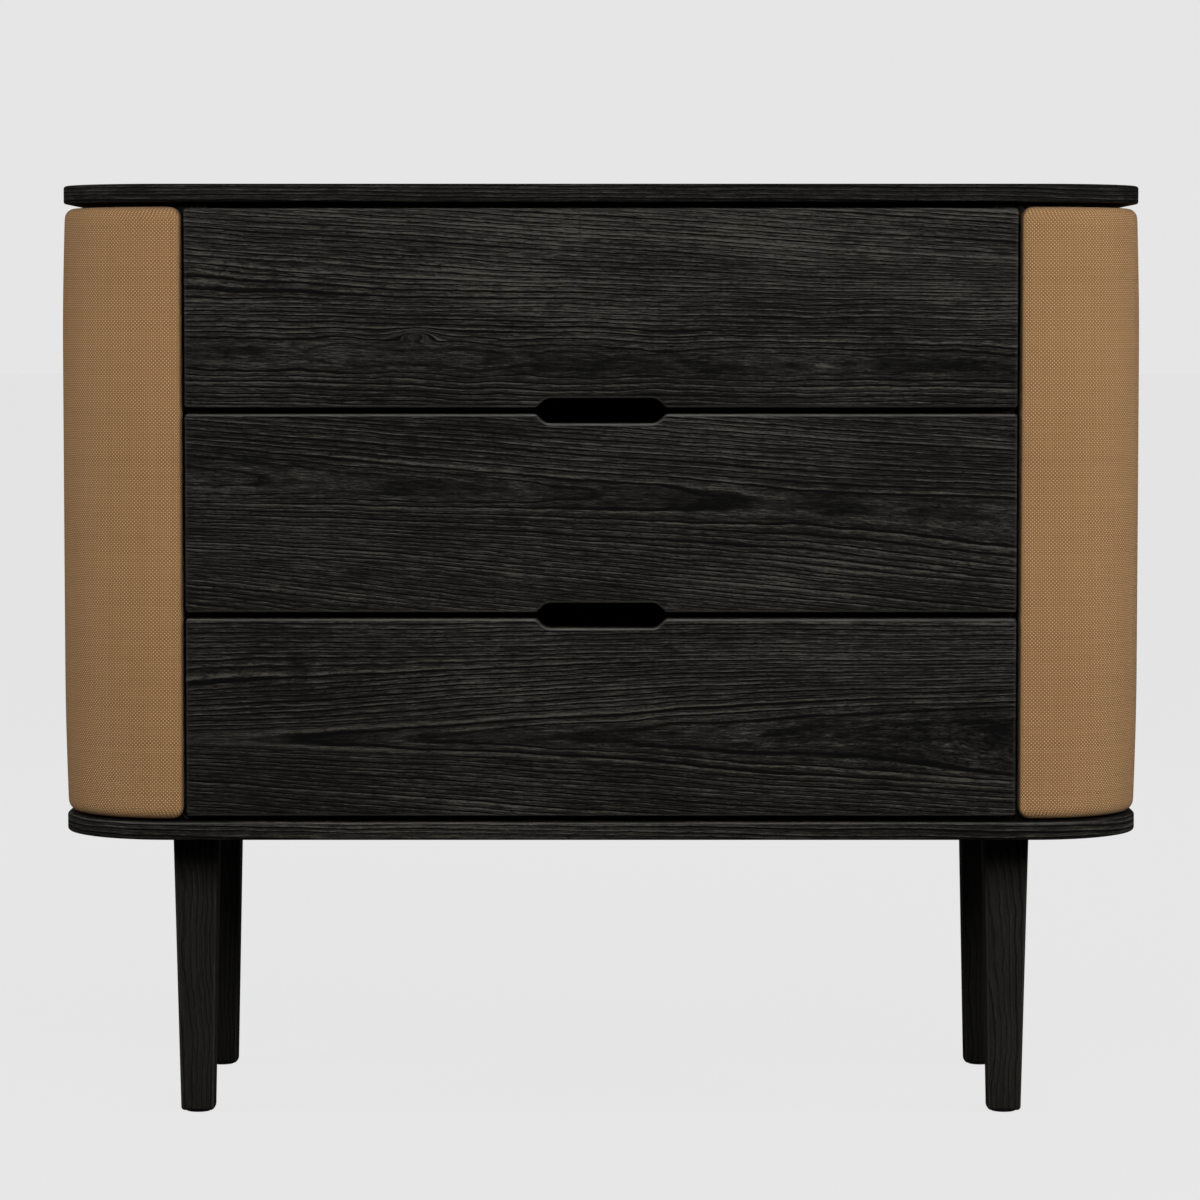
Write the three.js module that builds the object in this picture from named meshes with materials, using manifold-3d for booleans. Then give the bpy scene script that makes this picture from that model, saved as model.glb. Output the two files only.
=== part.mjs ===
// A low chest of three drawers on four tapered legs, with upholstered wrap panels round both ends.
// Millimetres, +Z up. The origin is on the floor under the middle of the chest, and the drawers face -Y.
import * as THREE from "three";
import { mergeVertices } from "three/addons/utils/BufferGeometryUtils.js";
import Module from "manifold-3d";

const wasm = await Module();
wasm.setup();

// Driving dimensions
const WIDTH = 750;
const DEPTH = 380;
const HEIGHT = 652.5;
const LEG_HEIGHT = 202.5; // floor to the underside of the bottom board, glide included
const BOARD = 12.5; // top and bottom boards
const CORNER_RADIUS = 78; // plan corners of both boards and of the wraps
const ARC_STEPS = 16; // segments in each plan corner
const REVEAL = 4; // gap above, below and between the drawer fronts
const TOUCH = 0.3; // gap kept between pieces that touch

// Carcass
const SIDE_THICK = 15;
const SIDE_OUTER_X = 284; // outer face of a side board
const BACK_THICK = 8;
const BACK_INSET = 2; // back board in from the outline

// Drawers
const DRAWER_NAMES = ["bottom_drawer", "middle_drawer", "top_drawer"];
const FRONT_WIDTH = 570;
const FRONT_THICK = 16;
const FRONT_CLEARANCE = 2; // drawer front to side board, closed
const BOX_THICK = 12; // drawer sides and back
const BOX_HEIGHT = 104;
const BOX_LIFT = 15; // underside of the drawer sides above the front's lower edge
const BOX_LENGTH = 310;
const BASE_THICK = 6; // drawer base board
const BASE_LIFT = 6; // base board above the underside of the drawer sides
const GROOVE_DEPTH = 6;

// Finger pull: a notch in each of the two drawer edges that meet
const PULL_MOUTH = 89; // across the notch where it meets the front's edge
const PULL_FLAT = 76; // across its straight bottom
const PULL_DEPTH = 6.4;
const PULL_LIP_RUN = 1.5; // the rounding where the notch leaves the edge: how far along the edge it reaches
const PULL_LIP_DEPTH = 1; // and how far down the slope
const PULL_FLOOR_RUN = 3.4; // the rounding at its straight bottom: how far along the bottom it reaches
const PULL_FLOOR_RISE = 2.4; // and how far up the slope

// Ball-bearing slides, three members each
const SLIDE_GAP = 13; // side board to drawer side
const SLIDE_LIFT = 67; // slide centre above the front's lower edge
const SLIDE_GAUGE = 1.2;
const SLIDE_LENGTH = 300;
const CABINET_MEMBER = { height: 45, reach: 10.3 };
const MIDDLE_MEMBER = { height: 35, reach: 9.3 };
const DRAWER_MEMBER = { height: 26, reach: 8.7 };
const MIDDLE_WEB_GAP = 1.5; // middle member's web to the side board
const MIDDLE_END_GAP = 4; // middle member's ends in from the cabinet member's

// Upholstered wraps, from the outline inwards
const WRAP_INSET = 0.5;
const FABRIC = 1.2;
const FOAM = 5;
const CORE = 9;
const WRAP_EDGE_X = 287.3; // front and rear edges of the cover
const WRAP_REVEAL_ABOVE = 3; // wrap to top board
const WRAP_REVEAL_BELOW = 1.5; // wrap to bottom board
const WRAP_CORNER = 8; // the cover's four corners, seen from the front
const WRAP_CORNER_STEPS = 6;
const HEM = 20; // fabric turned over onto the inside of the core
const FORMER_THICK = 15;

// Legs
const LEG_CENTRE_X = 285.3;
const LEG_CENTRE_Y = 102.4;
const LEG_TOP = 32.4;
const LEG_FOOT = 24.2;
const LEG_CORNER = 5;
const LEG_FOOT_ROUND = 2.5;
const LEG_CORNER_STEPS = 4;
const STUD_RADIUS = 4;
const STUD_IN_LEG = 34;
const STUD_IN_BOARD = 12;
const GLIDE_RADIUS = 9;
const GLIDE_THICK = 1.5;
const GLIDE_EDGE = 0.5; // bevel round its underside
const PIN_RADIUS = 1.5;
const PIN_LENGTH = 12;
const ROUND_STEPS = 16;

// Worked out from those
const HALF_DEPTH = DEPTH / 2;
const CARCASS_BOTTOM = LEG_HEIGHT + BOARD;
const CARCASS_TOP = HEIGHT - BOARD;
const SIDE_INNER_X = SIDE_OUTER_X - SIDE_THICK;
const FRONT_BACK_Y = FRONT_THICK - HALF_DEPTH; // rear face of a drawer front
const SIDE_FRONT_Y = FRONT_BACK_Y + FRONT_CLEARANCE;
const BACK_REAR_Y = HALF_DEPTH - BACK_INSET;
const BACK_FRONT_Y = BACK_REAR_Y - BACK_THICK;
const FRONT_HEIGHT = (CARCASS_TOP - CARCASS_BOTTOM - 4 * REVEAL) / 3;
const BOX_OUTER_X = SIDE_INNER_X - SLIDE_GAP;
const BOX_INNER_X = BOX_OUTER_X - BOX_THICK;
const BOX_REAR_Y = FRONT_BACK_Y + BOX_LENGTH;
const FOAM_OFFSET = WRAP_INSET + FABRIC + TOUCH;
const CORE_OFFSET = FOAM_OFFSET + FOAM + TOUCH;
const CORE_INNER = CORE_OFFSET + CORE;
const COVER_INNER = CORE_INNER + TOUCH + FABRIC;
const CORE_EDGE_X = WRAP_EDGE_X + FABRIC + TOUCH;
const WRAP_BOTTOM = CARCASS_BOTTOM + WRAP_REVEAL_BELOW;
const WRAP_TOP = CARCASS_TOP - WRAP_REVEAL_ABOVE;
const CORE_BOTTOM = WRAP_BOTTOM + FABRIC + TOUCH;
const CORE_TOP = WRAP_TOP - FABRIC - TOUCH;
const CORE_CORNER = WRAP_CORNER - FABRIC - TOUCH;

const finish = (color, roughness, metalness = 0) =>
  new THREE.MeshStandardMaterial({ color, roughness, metalness });
const MATERIALS = {
  blackAsh: finish(0x1b1a18, 0.6),
  drawerBox: finish(0x24221f, 0.65),
  upholstery: finish(0x9a7650, 0.9),
  foam: finish(0xd8cfb4, 0.95),
  plywood: finish(0xc2a477, 0.7),
  steel: finish(0xb4b6b8, 0.35, 1),
  nylon: finish(0x161616, 0.5),
};

// Booleans

function solidOf(geometry) {
  const bare = geometry.index ? geometry.toNonIndexed() : geometry.clone();
  bare.deleteAttribute("normal");
  bare.deleteAttribute("uv");
  const merged = mergeVertices(bare, 1e-4);
  const vertProperties = new Float32Array(merged.attributes.position.array);
  const triVerts = new Uint32Array(merged.index.array);
  return new wasm.Manifold(new wasm.Mesh({ numProp: 3, vertProperties, triVerts }));
}

function geometryOf(solid) {
  const mesh = solid.getMesh();
  const geometry = new THREE.BufferGeometry();
  geometry.setAttribute("position", new THREE.BufferAttribute(mesh.vertProperties, 3));
  geometry.setIndex(new THREE.BufferAttribute(mesh.triVerts, 1));
  return geometry;
}

// One geometry with others cut out of it
function cut(body, ...tools) {
  const left = tools.reduce((solid, tool) => solid.subtract(solidOf(tool)), solidOf(body));
  return geometryOf(left);
}

// Shapes

// An upright box between two corners; the X pair may come either way round
function block([xa, xb], [y0, y1], [z0, z1]) {
  const size = [Math.abs(xb - xa), y1 - y0, z1 - z0];
  return new THREE.BoxGeometry(...size).translate((xa + xb) / 2, (y0 + y1) / 2, (z0 + z1) / 2);
}

// A plan shape raised between two heights
function raise(shape, z0, z1) {
  const options = { depth: z1 - z0, bevelEnabled: false, curveSegments: ARC_STEPS };
  return new THREE.ExtrudeGeometry(shape, options).translate(0, 0, z0);
}

// A shape drawn in X and Z, run along Y between two stations
function runAlongY(shape, y0, y1) {
  const options = { depth: y1 - y0, bevelEnabled: false, curveSegments: 4 };
  return new THREE.ExtrudeGeometry(shape, options).rotateX(Math.PI / 2).translate(0, y1, 0);
}

// A closed (radius, height) profile turned about Z
function turn(points) {
  const profile = points.map(([r, z]) => new THREE.Vector2(r, z));
  return new THREE.LatheGeometry(profile, ROUND_STEPS).rotateX(Math.PI / 2);
}

const rod = (radius, z0, z1) => turn([[0, z0], [radius, z0], [radius, z1], [0, z1]]);

// Square rings with rounded corners, joined from the first height to the last and capped
function loft(rings) {
  const positions = [];
  for (const { half, corner, z } of rings) {
    for (let quarter = 0; quarter < 4; quarter++) {
      const middle = (quarter + 0.5) * (Math.PI / 2);
      const cx = Math.sign(Math.cos(middle)) * (half - corner);
      const cy = Math.sign(Math.sin(middle)) * (half - corner);
      for (let step = 0; step <= LEG_CORNER_STEPS; step++) {
        const angle = (quarter + step / LEG_CORNER_STEPS) * (Math.PI / 2);
        positions.push(cx + corner * Math.cos(angle), cy + corner * Math.sin(angle), z);
      }
    }
  }
  const count = 4 * (LEG_CORNER_STEPS + 1);
  const faces = [];
  for (let ring = 0; ring + 1 < rings.length; ring++) {
    for (let i = 0; i < count; i++) {
      const a = ring * count + i;
      const b = ring * count + ((i + 1) % count);
      faces.push(a, b, b + count, a, b + count, a + count);
    }
  }
  const lastRing = (rings.length - 1) * count;
  for (let i = 1; i + 1 < count; i++) {
    faces.push(0, i + 1, i, lastRing, lastRing + i, lastRing + i + 1);
  }
  const geometry = new THREE.BufferGeometry();
  geometry.setAttribute("position", new THREE.Float32BufferAttribute(positions, 3));
  return geometry.setIndex(faces);
}

// The cabinet's outline in plan
function planOutline() {
  const x = WIDTH / 2 - CORNER_RADIUS;
  const y = HALF_DEPTH - CORNER_RADIUS;
  const shape = new THREE.Shape();
  shape.absarc(x, -y, CORNER_RADIUS, -Math.PI / 2, 0);
  shape.absarc(x, y, CORNER_RADIUS, 0, Math.PI / 2);
  shape.absarc(-x, y, CORNER_RADIUS, Math.PI / 2, Math.PI);
  shape.absarc(-x, -y, CORNER_RADIUS, Math.PI, 1.5 * Math.PI);
  return shape;
}

// Points along the right-hand end, offset in from the outline, from the front edge at edgeX to the rear one
function endLine(offset, edgeX) {
  const x = WIDTH / 2 - CORNER_RADIUS;
  const y = HALF_DEPTH - CORNER_RADIUS;
  const radius = CORNER_RADIUS - offset;
  const turned = Math.acos(Math.max(0, edgeX - x) / radius);
  const points = [];
  for (const side of [-1, 1]) {
    for (let step = 0; step <= ARC_STEPS; step++) {
      const part = step / ARC_STEPS;
      const angle = side < 0 ? (part - 1) * turned : part * turned;
      points.push(new THREE.Vector2(x + radius * Math.cos(angle), side * y + radius * Math.sin(angle)));
    }
  }
  if (edgeX < x) {
    points.unshift(new THREE.Vector2(edgeX, -(HALF_DEPTH - offset)));
    points.push(new THREE.Vector2(edgeX, HALF_DEPTH - offset));
  }
  return points;
}

// The right-hand wrap in plan: a band round the end, between two offsets in from the outline
const wrapBand = (outer, inner, edgeX) =>
  new THREE.Shape([...endLine(outer, edgeX), ...endLine(inner, edgeX).reverse()]);

// Carcass

function carcassBoards() {
  const holes = LEG_PLACES.map(({ x, y }) =>
    rod(STUD_RADIUS + TOUCH, LEG_HEIGHT - 1, CARCASS_BOTTOM + 1).translate(x, y, 0),
  );
  const heights = [CARCASS_BOTTOM, CARCASS_TOP];
  const boards = {
    top_board: raise(planOutline(), CARCASS_TOP, HEIGHT),
    bottom_board: cut(raise(planOutline(), LEG_HEIGHT, CARCASS_BOTTOM), ...holes),
    back_board: block([-FRONT_WIDTH / 2, FRONT_WIDTH / 2], [BACK_FRONT_Y, BACK_REAR_Y], heights),
  };
  for (const [side, sign] of SIDES) {
    const across = [sign * SIDE_INNER_X, sign * SIDE_OUTER_X];
    boards[`${side}_side_board`] = block(across, [SIDE_FRONT_Y, BACK_FRONT_Y - TOUCH], heights);
  }
  return boards;
}

// Right-hand wrap: bent plywood core, foam, the fabric cover with its turned-in hem, and the two formers
// that hold it, one under the top board and one on the bottom board

// What is cut off a wrap layer at one height to round its front and rear corners there
function cornerWaste(edgeX, z, inward, radius) {
  const centreX = edgeX + radius;
  const centreZ = z + inward * radius;
  const shape = new THREE.Shape([
    new THREE.Vector2(edgeX - 1, centreZ),
    new THREE.Vector2(edgeX - 1, z - inward),
    new THREE.Vector2(centreX, z - inward),
  ]);
  for (let step = 0; step <= WRAP_CORNER_STEPS; step++) {
    const angle = (step / WRAP_CORNER_STEPS) * (Math.PI / 2);
    shape.lineTo(centreX - radius * Math.sin(angle), centreZ - inward * radius * Math.cos(angle));
  }
  return runAlongY(shape, -HALF_DEPTH, HALF_DEPTH);
}

// One layer of the wrap between two offsets in from the outline and two heights, with rounded corners
function wrapLayer([outer, inner], edgeX, [z0, z1], corner) {
  const waste = [cornerWaste(edgeX, z0, 1, corner), cornerWaste(edgeX, z1, -1, corner)];
  return cut(raise(wrapBand(outer, inner, edgeX), z0, z1), ...waste);
}

function wrapCover() {
  const skin = wrapLayer([WRAP_INSET, COVER_INNER], WRAP_EDGE_X, [WRAP_BOTTOM, WRAP_TOP], WRAP_CORNER);
  const pocket = wrapLayer(
    [WRAP_INSET + FABRIC, CORE_INNER + TOUCH],
    WRAP_EDGE_X + FABRIC,
    [WRAP_BOTTOM + FABRIC, WRAP_TOP - FABRIC],
    WRAP_CORNER - FABRIC,
  );
  const windowBand = wrapBand(CORE_INNER, COVER_INNER + 2, WRAP_EDGE_X + HEM);
  return cut(skin, pocket, raise(windowBand, WRAP_BOTTOM + HEM, WRAP_TOP - HEM));
}

const former = (z0) =>
  raise(new THREE.Shape(endLine(COVER_INNER + TOUCH, SIDE_OUTER_X + TOUCH)), z0, z0 + FORMER_THICK);

function wrapPieces() {
  const heights = [CORE_BOTTOM, CORE_TOP];
  const foamBand = [FOAM_OFFSET, FOAM_OFFSET + FOAM];
  return {
    wrap_core: [wrapLayer([CORE_OFFSET, CORE_INNER], CORE_EDGE_X, heights, CORE_CORNER), "plywood"],
    wrap_foam: [wrapLayer(foamBand, CORE_EDGE_X, heights, CORE_CORNER), "foam"],
    wrap_cover: [wrapCover(), "upholstery"],
    lower_former: [former(CARCASS_BOTTOM), "plywood"],
    upper_former: [former(CARCASS_TOP - FORMER_THICK), "plywood"],
  };
}

// Legs, each built about its own axis

function leg() {
  const half = LEG_FOOT / 2;
  const eased = LEG_FOOT_ROUND * (1 - Math.SQRT1_2); // halfway round the foot's edge
  const body = loft([
    { half: half - LEG_FOOT_ROUND, corner: LEG_CORNER - LEG_FOOT_ROUND, z: GLIDE_THICK },
    { half: half - eased, corner: LEG_CORNER - eased, z: GLIDE_THICK + eased },
    { half, corner: LEG_CORNER, z: GLIDE_THICK + LEG_FOOT_ROUND },
    { half: LEG_TOP / 2, corner: LEG_CORNER, z: LEG_HEIGHT },
  ]);
  const studHole = rod(STUD_RADIUS + TOUCH, LEG_HEIGHT - STUD_IN_LEG - 1, LEG_HEIGHT + 1);
  const pinHole = rod(PIN_RADIUS + TOUCH, 0, GLIDE_THICK + PIN_LENGTH + 1);
  return cut(body, studHole, pinHole);
}

const legStud = () => rod(STUD_RADIUS, LEG_HEIGHT - STUD_IN_LEG, LEG_HEIGHT + STUD_IN_BOARD);

const legGlide = () =>
  turn([
    [0, 0],
    [GLIDE_RADIUS - GLIDE_EDGE, 0],
    [GLIDE_RADIUS, GLIDE_EDGE],
    [GLIDE_RADIUS, GLIDE_THICK],
    [PIN_RADIUS, GLIDE_THICK],
    [PIN_RADIUS, GLIDE_THICK + PIN_LENGTH],
    [0, GLIDE_THICK + PIN_LENGTH],
  ]);

// Drawers, each with the lower edge of its front at z = 0

// Adds one finger notch to a drawer front's outline, which is being drawn along an edge at edgeZ towards +X
// (going = 1) or -X (going = -1). The notch is cut upwards (inward = 1) or downwards (inward = -1).
function addPull(shape, edgeZ, going, inward) {
  const slope = (PULL_MOUTH - PULL_FLAT) / 2 / PULL_DEPTH; // sideways for each millimetre in
  const mouth = PULL_MOUTH / 2;
  const flat = PULL_FLAT / 2;
  const at = (x, depth) => [going * x, edgeZ + inward * depth];
  const rise = PULL_DEPTH - PULL_FLOOR_RISE;
  const riseX = flat + slope * PULL_FLOOR_RISE;
  shape.lineTo(...at(-mouth - PULL_LIP_RUN, 0));
  shape.quadraticCurveTo(...at(-mouth, 0), ...at(-mouth + slope * PULL_LIP_DEPTH, PULL_LIP_DEPTH));
  shape.lineTo(...at(-riseX, rise));
  shape.quadraticCurveTo(...at(-flat, PULL_DEPTH), ...at(-flat + PULL_FLOOR_RUN, PULL_DEPTH));
  shape.lineTo(...at(flat - PULL_FLOOR_RUN, PULL_DEPTH));
  shape.quadraticCurveTo(...at(flat, PULL_DEPTH), ...at(riseX, rise));
  shape.lineTo(...at(mouth - slope * PULL_LIP_DEPTH, PULL_LIP_DEPTH));
  shape.quadraticCurveTo(...at(mouth, 0), ...at(mouth + PULL_LIP_RUN, 0));
}

function drawerFront(pullBelow, pullAbove) {
  const half = FRONT_WIDTH / 2;
  const shape = new THREE.Shape();
  shape.moveTo(-half, 0);
  if (pullBelow) addPull(shape, 0, 1, 1);
  shape.lineTo(half, 0);
  shape.lineTo(half, FRONT_HEIGHT);
  if (pullAbove) addPull(shape, FRONT_HEIGHT, -1, -1);
  shape.lineTo(-half, FRONT_HEIGHT);
  return cut(runAlongY(shape, -HALF_DEPTH, FRONT_BACK_Y), baseGroove());
}

// The space that the base board's edges run in: one box cuts the groove in all four walls
function baseGroove() {
  const half = BOX_INNER_X + GROOVE_DEPTH;
  const z = BOX_LIFT + BASE_LIFT;
  const along = [FRONT_BACK_Y - GROOVE_DEPTH, BOX_REAR_Y - BOX_THICK + GROOVE_DEPTH];
  return block([-half, half], along, [z - TOUCH, z + BASE_THICK + TOUCH]);
}

// A steel channel along Y between two stations: its web stands at webX, and its two flanges reach away from
// it, towards the drawer (facing = -1) or towards the side board (facing = 1)
function channel(sign, { height, reach }, webX, facing, y0, y1) {
  const half = height / 2;
  const inner = half - SLIDE_GAUGE;
  const at = (x, z) => new THREE.Vector2(sign * (webX + facing * x), SLIDE_LIFT + z);
  const section = new THREE.Shape([
    at(0, -half),
    at(reach, -half),
    at(reach, -inner),
    at(SLIDE_GAUGE, -inner),
    at(SLIDE_GAUGE, inner),
    at(reach, inner),
    at(reach, half),
    at(0, half),
  ]);
  return runAlongY(section, y0, y1);
}

// The three members of one slide. The middle one runs inside the cabinet's, and the drawer's inside both.
function slideMembers(sign) {
  const front = SIDE_FRONT_Y;
  const rear = front + SLIDE_LENGTH;
  const middle = [front + MIDDLE_END_GAP, rear - MIDDLE_END_GAP];
  const drawer = [FRONT_BACK_Y + TOUCH, rear - 2 * MIDDLE_END_GAP];
  return {
    cabinet: channel(sign, CABINET_MEMBER, SIDE_INNER_X, -1, front, rear),
    middle: channel(sign, MIDDLE_MEMBER, SIDE_INNER_X - MIDDLE_WEB_GAP, -1, ...middle),
    drawer: channel(sign, DRAWER_MEMBER, BOX_OUTER_X + TOUCH, 1, ...drawer),
  };
}

function drawerPieces(index) {
  const boxZ = [BOX_LIFT, BOX_LIFT + BOX_HEIGHT];
  const sideY = [FRONT_BACK_Y + TOUCH, BOX_REAR_Y];
  const backY = [BOX_REAR_Y - BOX_THICK, BOX_REAR_Y];
  const groove = baseGroove();
  const baseHalf = BOX_INNER_X + GROOVE_DEPTH - TOUCH;
  const baseY = [FRONT_BACK_Y - GROOVE_DEPTH + TOUCH, BOX_REAR_Y - BOX_THICK + GROOVE_DEPTH - TOUCH];
  const baseZ = [BOX_LIFT + BASE_LIFT, BOX_LIFT + BASE_LIFT + BASE_THICK];
  const backHalf = BOX_INNER_X - TOUCH;
  const pieces = {
    front: [drawerFront(index > 0, index < DRAWER_NAMES.length - 1), "blackAsh"],
    back: [cut(block([-backHalf, backHalf], backY, boxZ), groove), "drawerBox"],
    base: [block([-baseHalf, baseHalf], baseY, baseZ), "drawerBox"],
  };
  for (const [side, sign] of SIDES) {
    const board = block([sign * BOX_INNER_X, sign * BOX_OUTER_X], sideY, boxZ);
    pieces[`${side}_side`] = [cut(board, groove), "drawerBox"];
    for (const [member, geometry] of Object.entries(slideMembers(sign))) {
      pieces[`${side}_slide_${member}_member`] = [geometry, "steel"];
    }
  }
  return pieces;
}

// Assembly

const SIDES = [
  ["left", -1],
  ["right", 1],
];
const LEG_PLACES = [
  { name: "front_left", x: -LEG_CENTRE_X, y: -LEG_CENTRE_Y },
  { name: "front_right", x: LEG_CENTRE_X, y: -LEG_CENTRE_Y },
  { name: "rear_left", x: -LEG_CENTRE_X, y: LEG_CENTRE_Y },
  { name: "rear_right", x: LEG_CENTRE_X, y: LEG_CENTRE_Y },
];

function named(name, geometry, material) {
  const mesh = new THREE.Mesh(geometry, MATERIALS[material]);
  mesh.name = name;
  return mesh;
}

const chest = new THREE.Group();

for (const [name, geometry] of Object.entries(carcassBoards())) {
  chest.add(named(name, geometry, "blackAsh"));
}

// The chest is the same front and back, so the left wrap is the right one turned half round
for (const [side, sign] of SIDES) {
  const wrap = new THREE.Group();
  wrap.rotation.z = sign < 0 ? Math.PI : 0;
  for (const [name, [geometry, material]] of Object.entries(wrapPieces())) {
    wrap.add(named(`${side}_${name}`, geometry, material));
  }
  chest.add(wrap);
}

for (const { name, x, y } of LEG_PLACES) {
  const place = new THREE.Group();
  place.position.set(x, y, 0);
  place.add(named(`${name}_leg`, leg(), "blackAsh"));
  place.add(named(`${name}_leg_stud`, legStud(), "steel"));
  place.add(named(`${name}_glide`, legGlide(), "nylon"));
  chest.add(place);
}

DRAWER_NAMES.forEach((drawerName, index) => {
  const drawer = new THREE.Group();
  drawer.position.z = CARCASS_BOTTOM + REVEAL + index * (FRONT_HEIGHT + REVEAL);
  for (const [name, [geometry, material]] of Object.entries(drawerPieces(index))) {
    drawer.add(named(`${drawerName}_${name}`, geometry, material));
  }
  chest.add(drawer);
});

export default chest;
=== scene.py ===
"""The looks of a three-drawer bedside chest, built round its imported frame.

Black-stained ash boards, drawer fronts and legs, fabric-wrapped ends, and the parts inside that an open
drawer shows. Everything is in metres, in the frame's own axes: the drawers face -Y, and +Z is up.
"""

import math

import bpy
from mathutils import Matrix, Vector


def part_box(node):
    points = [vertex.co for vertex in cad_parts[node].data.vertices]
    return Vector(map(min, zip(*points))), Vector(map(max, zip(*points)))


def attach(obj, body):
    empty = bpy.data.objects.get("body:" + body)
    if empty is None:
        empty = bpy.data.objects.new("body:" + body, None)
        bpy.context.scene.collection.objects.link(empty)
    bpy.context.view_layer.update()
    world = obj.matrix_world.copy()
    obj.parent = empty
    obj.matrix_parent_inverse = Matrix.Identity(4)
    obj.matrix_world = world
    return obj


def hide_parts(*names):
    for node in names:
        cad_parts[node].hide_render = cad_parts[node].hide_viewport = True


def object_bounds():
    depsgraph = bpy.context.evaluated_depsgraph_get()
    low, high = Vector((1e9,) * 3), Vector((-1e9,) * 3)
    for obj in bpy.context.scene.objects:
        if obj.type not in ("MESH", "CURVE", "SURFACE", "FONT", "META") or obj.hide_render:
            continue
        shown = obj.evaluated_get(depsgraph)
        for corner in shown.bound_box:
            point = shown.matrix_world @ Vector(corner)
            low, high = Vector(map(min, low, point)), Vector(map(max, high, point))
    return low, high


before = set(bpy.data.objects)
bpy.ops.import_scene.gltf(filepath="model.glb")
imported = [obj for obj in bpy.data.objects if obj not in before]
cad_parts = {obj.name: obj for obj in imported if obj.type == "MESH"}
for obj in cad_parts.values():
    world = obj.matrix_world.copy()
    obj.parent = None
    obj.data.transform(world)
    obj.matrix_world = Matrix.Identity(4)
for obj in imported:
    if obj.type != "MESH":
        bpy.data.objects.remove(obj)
CAD_LOW, CAD_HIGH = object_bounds()
MM = 0.001

# ---------------------------------------------------------------- sizes

DRAWERS = ("bottom_drawer", "middle_drawer", "top_drawer")
SIDES = {"left": -1, "right": 1}
LEGS = ("front_left", "front_right", "rear_left", "rear_right")

CORNER_RADIUS = 78 * MM  # plan corners of the boards
CORNER_STEPS = 28
BOARD_ARRIS = 1.8 * MM
FRONT_ARRIS = 2.1 * MM
ARRIS_STEPS = 4
CAP_MARGIN = 1.5 * MM  # a ring just inside each flat face, so that its shading stays flat

PULL_MOUTH = 89 * MM  # finger notches in the drawer fronts
PULL_FLAT = 76 * MM
PULL_DEPTH = 6.4 * MM
PULL_LIP_RADIUS = 3.6 * MM
PULL_FLOOR_RADIUS = 8.5 * MM
FRONT_CORNER_RADIUS = 2.2 * MM
FRONT_CORNER_STEPS = 6
SHARPEST = 0.15 * MM  # the smallest radius that a corner shrinks to where the outline is inset

LEG_TAPER = 4.1 * MM  # how much nearer its middle each leg face is at the foot than at the top
LEG_CORNER_RADIUS = 3.2 * MM
LEG_FOOT_RADIUS = 2.5 * MM
LEG_FOOT_STEPS = 4
LEG_LEVELS = 8  # rings up the leg above its rounded foot
LEG_BULGE = 0.35 * MM  # how far each leg face stands proud at its middle
LEG_CORNER_STEPS = 8
LEG_FACE_STEPS = (-0.6, -0.2, 0.2, 0.6)

COVER_INSET = 0.5 * MM  # fabric in from the outline of the boards, at its edges
COVER_DEPTH = 17.3 * MM  # outer face to the turned-in hem
COVER_HEM = 20 * MM
COVER_EDGE = (1.8 * MM, 7 * MM)  # how far in its rounding reaches, at upright and at level edges
COVER_FALL = 7 * MM  # how far back the rounding reaches
COVER_CORNER = 8 * MM  # its four corners, seen from outside
COVER_BACK_RADIUS = 1.5 * MM
COVER_SWELL = 0.8 * MM  # how much further the simulated cloth may swell
CLOTH_PRESSURE = 4
CLOTH_FRAMES = 20
FABRIC_THICKNESS = 1.0 * MM
FOAM_INSET = 2.0 * MM  # foam pad in from the outline of the boards
FOAM_DEPTH = 5 * MM
FOAM_EDGE = (2.5 * MM, 6.5 * MM)
FOAM_FALL = 4 * MM
FOAM_CORNER = 6.5 * MM
FOAM_BACK_RADIUS = 0.5 * MM
CROWN = 1.7 * MM  # how much thicker the padding is in its middle than at its edges
CROWN_REACH = 90 * MM  # how far in from the edges it goes on getting thicker
SLAB_CELL = 6 * MM
SLAB_CORNER_STEPS = 5
SLAB_ROUND_STEPS = 4

# The viewpoint: a long lens a little above the middle of the chest, looking slightly down
CAMERA_LENS = 137.2
SENSOR_WIDTH = 36
CAMERA_DISTANCE = 3.129  # in front of the boards' front edges
CAMERA_HEIGHT = 0.5639
CAMERA_PITCH = 0.0625
CAMERA_X = -0.7 * MM


# ---------------------------------------------------------------- shader tools


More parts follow.
